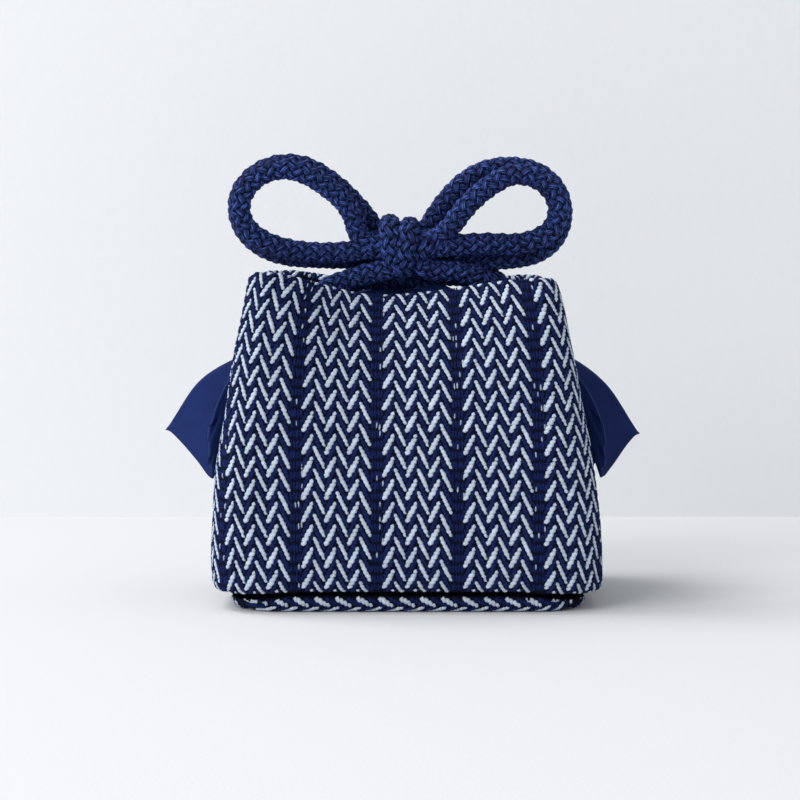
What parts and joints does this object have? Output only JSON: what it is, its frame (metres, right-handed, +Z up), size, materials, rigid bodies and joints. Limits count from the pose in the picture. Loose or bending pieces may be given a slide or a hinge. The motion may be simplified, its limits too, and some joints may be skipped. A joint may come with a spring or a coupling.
{
  "type": "drawstring pouch",
  "caption": "Boxy lined pouch of thick herringbone cloth on a base panel, closed by a plain navy collar with two side ears and a doubled braided cord tied in a bow.",
  "frame": {"origin": "on the resting face, under the middle of the base panel", "axes": "+Z up, the front towards -Y, the ears towards -X and +X"},
  "size_m": [0.1438, 0.082, 0.1327],
  "materials": {
    "herringbone_cloth": "thick indigo and white herringbone weave with plain ladder stripes, matte",
    "pale_lining": "smooth pale blue cotton",
    "navy_cloth": "plain matte navy cotton",
    "navy_cord": "round braided navy cotton cord, soft sheen on the plies"
  },
  "bodies": {
    "root": {"front_panel": "herringbone_cloth", "back_panel": "herringbone_cloth", "base_panel": "herringbone_cloth", "lining": "pale_lining", "collar": "navy_cloth", "ear_left": "navy_cloth", "ear_right": "navy_cloth", "loop_left_front": "navy_cord", "loop_left_back": "navy_cord", "loop_right_front": "navy_cord", "loop_right_back": "navy_cord", "lead_left_front": "navy_cord", "lead_left_back": "navy_cord", "lead_right_front": "navy_cord", "lead_right_back": "navy_cord", "bow_knot": "navy_cord"}
  },
  "joints": []
}
